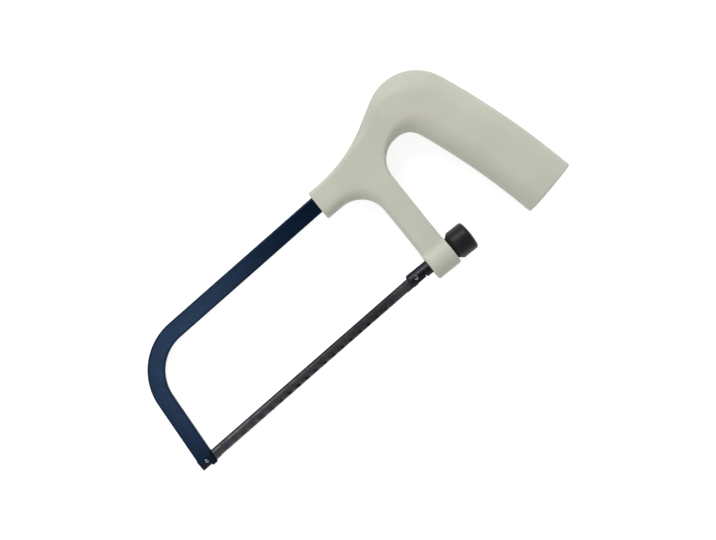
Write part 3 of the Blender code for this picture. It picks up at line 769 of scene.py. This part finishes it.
tensionKnob = makeKnob()
fit(tensionKnob, "knob", "tension_knob", finishes["knob"])
fit(makeRing("brass_bush", **bush), "knob", "knob_insert", finishes["insert"])
fit(makeRing("steel_washer", **washer), "frame", "thrust_washer", finishes["washer"])
print("knob, bush and washer done")

# Stage: a pale floor, tilted so that the grip and the hook both come close to it, soft light, and
# the camera over the saw
stage = {
    "tilt": 2.56, "grip": (230.0, 25.0), "gripAngle": 104.4, "size": 4.0, "gap": 0.05,
    "floor": 0.42, "roughness": 0.9, "specular": 0.1,
}
room = {"lift": 0.8, "walls": 0.34, "ceiling": 0.03, "ceilingFrom": 0.55, "ceilingFull": 0.9}
view = {
    "centre": (129.04, 23.72), "distance": 1.1, "mmPerPixel": 0.53916, "width": 716, "roll": -41.14,
    "sensor": 36.0,
}


def makeFloor():
    middle = at(*stage["grip"])
    bpy.ops.mesh.primitive_plane_add(size=stage["size"], location=(0, 0, 0))
    floor = named("floor")
    settle(floor)
    across = polar(stage["gripAngle"] + 90)
    slope = math.tan(math.radians(stage["tilt"]))

    def rise(place):
        return slope * (place - middle).dot(across)

    lowest = min(v.co.z - rise(v.co) for piece in (handle, frameBar) for v in piece.data.vertices)
    for vertex in floor.data.vertices:
        vertex.co.z = lowest - stage["gap"] * mm + rise(vertex.co)
    material = bpy.data.materials.new("pale_floor")
    material.use_nodes = True
    tree = material.node_tree
    shader = tree.nodes["Principled BSDF"]
    shader.inputs["Base Color"].default_value = (stage["floor"],) * 3 + (1,)
    shader.inputs["Roughness"].default_value = stage["roughness"]
    shader.inputs["Specular IOR Level"].default_value = stage["specular"]
    shader.inputs["Emission Color"].default_value = (1, 1, 1, 1)
    rays = tree.nodes.new("ShaderNodeLightPath")
    lift = tree.nodes.new("ShaderNodeMath")
    lift.operation = "MULTIPLY"
    lift.inputs[1].default_value = room["lift"]
    # The camera, reflections and rays through clear parts all see the floor at its lifted white
    seen = rays.outputs["Is Camera Ray"]
    for ray in ("Is Glossy Ray", "Is Transmission Ray"):
        either = tree.nodes.new("ShaderNodeMath")
        either.operation = "MAXIMUM"
        tree.links.new(seen, either.inputs[0])
        tree.links.new(rays.outputs[ray], either.inputs[1])
        seen = either.outputs[0]
    tree.links.new(seen, lift.inputs[0])
    tree.links.new(lift.outputs[0], shader.inputs["Emission Strength"])
    floor.data.materials.append(material)


# Each light: where it stands round the picture, its height angle, distance, size and power, and
# whether it shows in reflections, which only the key and the front light do
lights = {
    "key": (122, 44, 1.3, 0.38, 6.2, True),
    "right": (40, 42, 1.4, 1.4, 4.1, False),
    "low": (-50, 35, 2.0, 2.4, 13.0, False),
    "fill": (-135, 35, 1.4, 1.2, 4.0, False),
    "rim": (70, 18, 1.4, 0.6, 6.9, False),
    "side": (190, 18, 1.4, 0.6, 5.0, False),
    "front": (205.5, 69.8, 0.373, 0.12, 0.1, True),
}


def makeLights():
    for name, (around, up, distance, size, watts, shows) in lights.items():
        lamp = bpy.data.lights.new(name, "AREA")
        lamp.size = size
        lamp.energy = watts
        obj = bpy.data.objects.new(name, lamp)
        obj.visible_glossy = shows
        bpy.context.scene.collection.objects.link(obj)
        goal = at(*view["centre"])
        level = polar(around + view["roll"], math.cos(math.radians(up)))
        obj.location = goal + (level + Vector((0, 0, math.sin(math.radians(up))))) * distance
        obj.rotation_euler = (goal - obj.location).to_track_quat("-Z", "Y").to_euler()
    world = bpy.data.worlds.new("studio")
    bpy.context.scene.world = world
    world.use_nodes = True
    tree = world.node_tree
    sky = tree.nodes["Background"]
    sky.inputs["Color"].default_value = (1, 1, 1, 1)
    # A dark ceiling over a pale room, so that faces turned up keep their own dark colours
    way = tree.nodes.new("ShaderNodeTexCoord")
    split = tree.nodes.new("ShaderNodeSeparateXYZ")
    ceiling = tree.nodes.new("ShaderNodeMapRange")
    ceiling.interpolation_type = "SMOOTHSTEP"
    settings = {
        "From Min": room["ceilingFrom"], "From Max": room["ceilingFull"],
        "To Min": room["walls"], "To Max": room["ceiling"],
    }
    for key, value in settings.items():
        ceiling.inputs[key].default_value = value
    tree.links.new(way.outputs["Generated"], split.inputs["Vector"])
    tree.links.new(split.outputs["Z"], ceiling.inputs["Value"])
    tree.links.new(ceiling.outputs["Result"], sky.inputs["Strength"])


def makeCamera():
    lens = bpy.data.cameras.new("camera")
    camera = bpy.data.objects.new("camera", lens)
    bpy.context.scene.collection.objects.link(camera)
    camera.location = at(*view["centre"]) + Vector((0, 0, view["distance"]))
    camera.rotation_euler = (0, 0, math.radians(view["roll"]))
    lens.sensor_width = view["sensor"]
    lens.lens = lens.sensor_width * view["distance"] / (view["width"] * view["mmPerPixel"] * mm)
    lens.dof.use_dof = False
    bpy.context.scene.camera = camera


makeFloor()
makeLights()
makeCamera()
bpy.context.scene.view_settings.view_transform = "Standard"
print("stage, lights and camera set")
